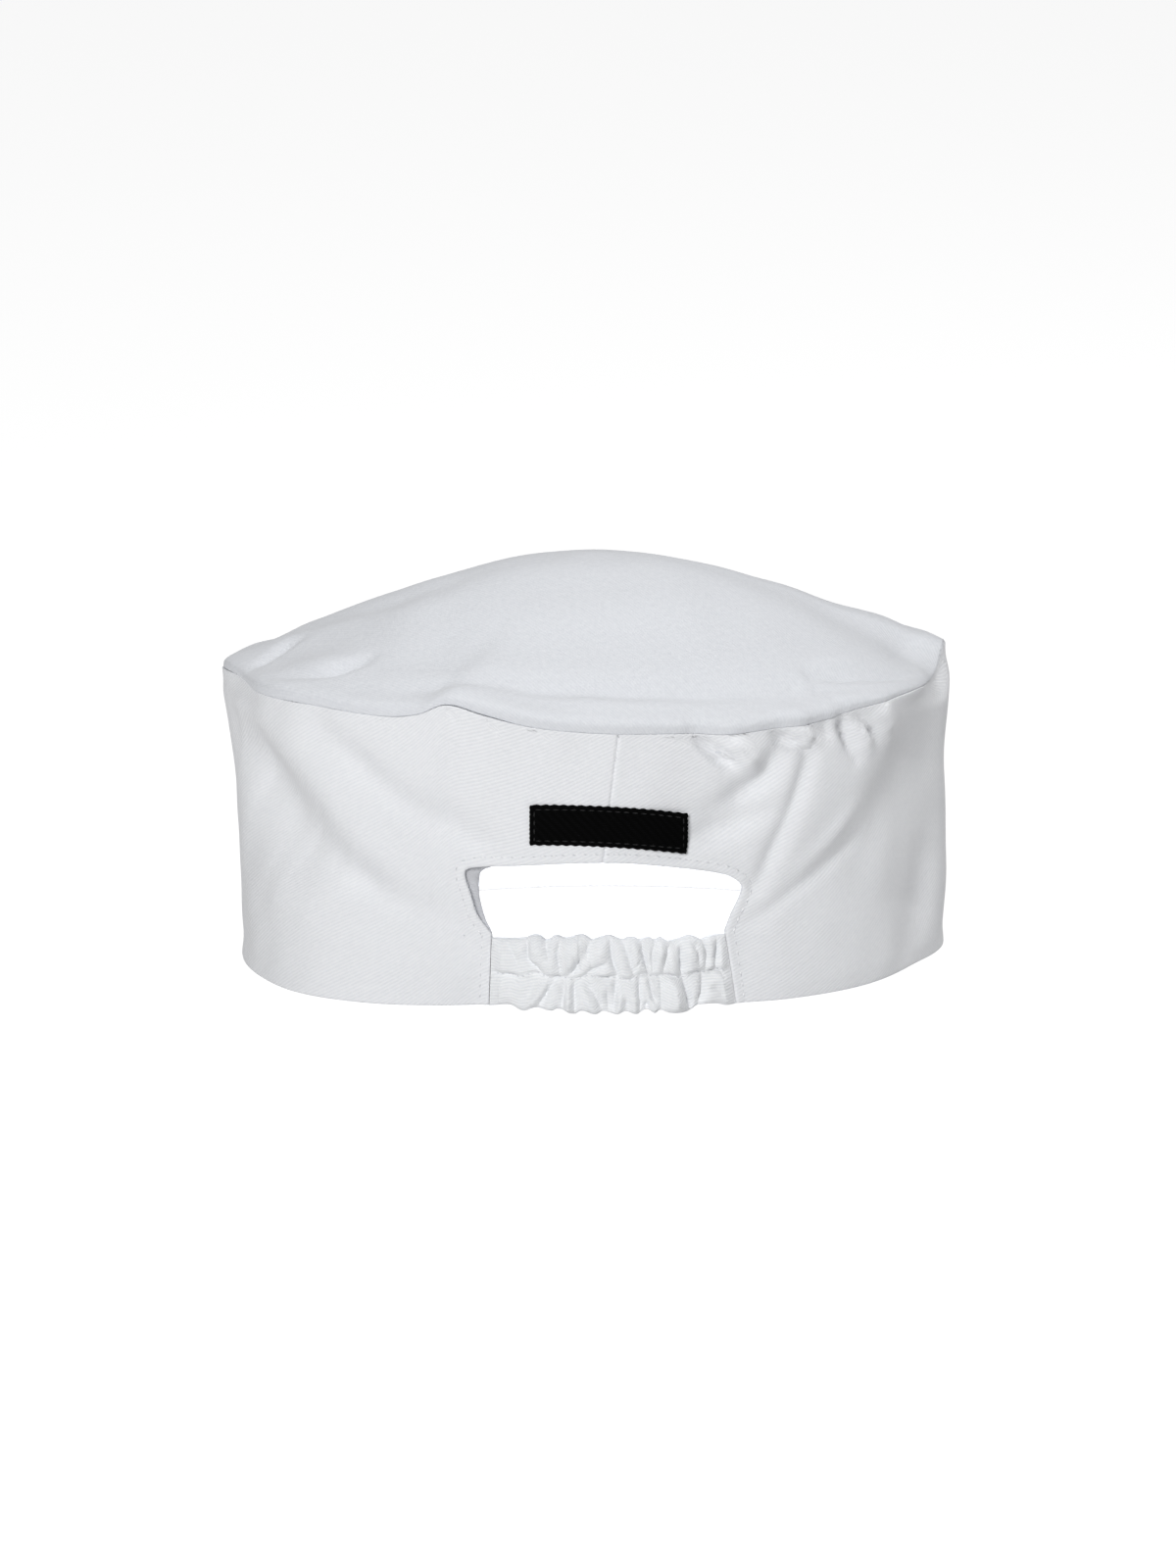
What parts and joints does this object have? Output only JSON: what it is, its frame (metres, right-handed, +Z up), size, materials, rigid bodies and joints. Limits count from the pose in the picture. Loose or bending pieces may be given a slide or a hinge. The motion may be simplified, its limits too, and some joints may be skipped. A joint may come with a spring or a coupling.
{
  "type": "chef skull cap",
  "caption": "White cotton kitchen skull cap: soft domed crown on an upright side band, arched opening at the back closed by a ruffled elastic casing, bare black label",
  "frame": {"origin": "middle of the cap's box on the level of its hem", "axes": "+X across the cap, to the right seen from behind; +Y towards the front; +Z up; the back opening faces -Y"},
  "size_m": [0.2228, 0.1492, 0.124],
  "materials": {
    "white_drill": "white cotton twill, matt",
    "crown_drill": "white cotton twill, matt, brushed",
    "ruffled_drill": "white cotton twill, gathered on elastic",
    "facing_drill": "white cotton strip, matt",
    "black_tape": "woven black satin tape, bare"
  },
  "bodies": {
    "root": {"side_band": "white_drill", "crown_top": "crown_drill", "elastic_casing": "ruffled_drill", "opening_facing": "facing_drill", "label": "black_tape"}
  },
  "joints": []
}
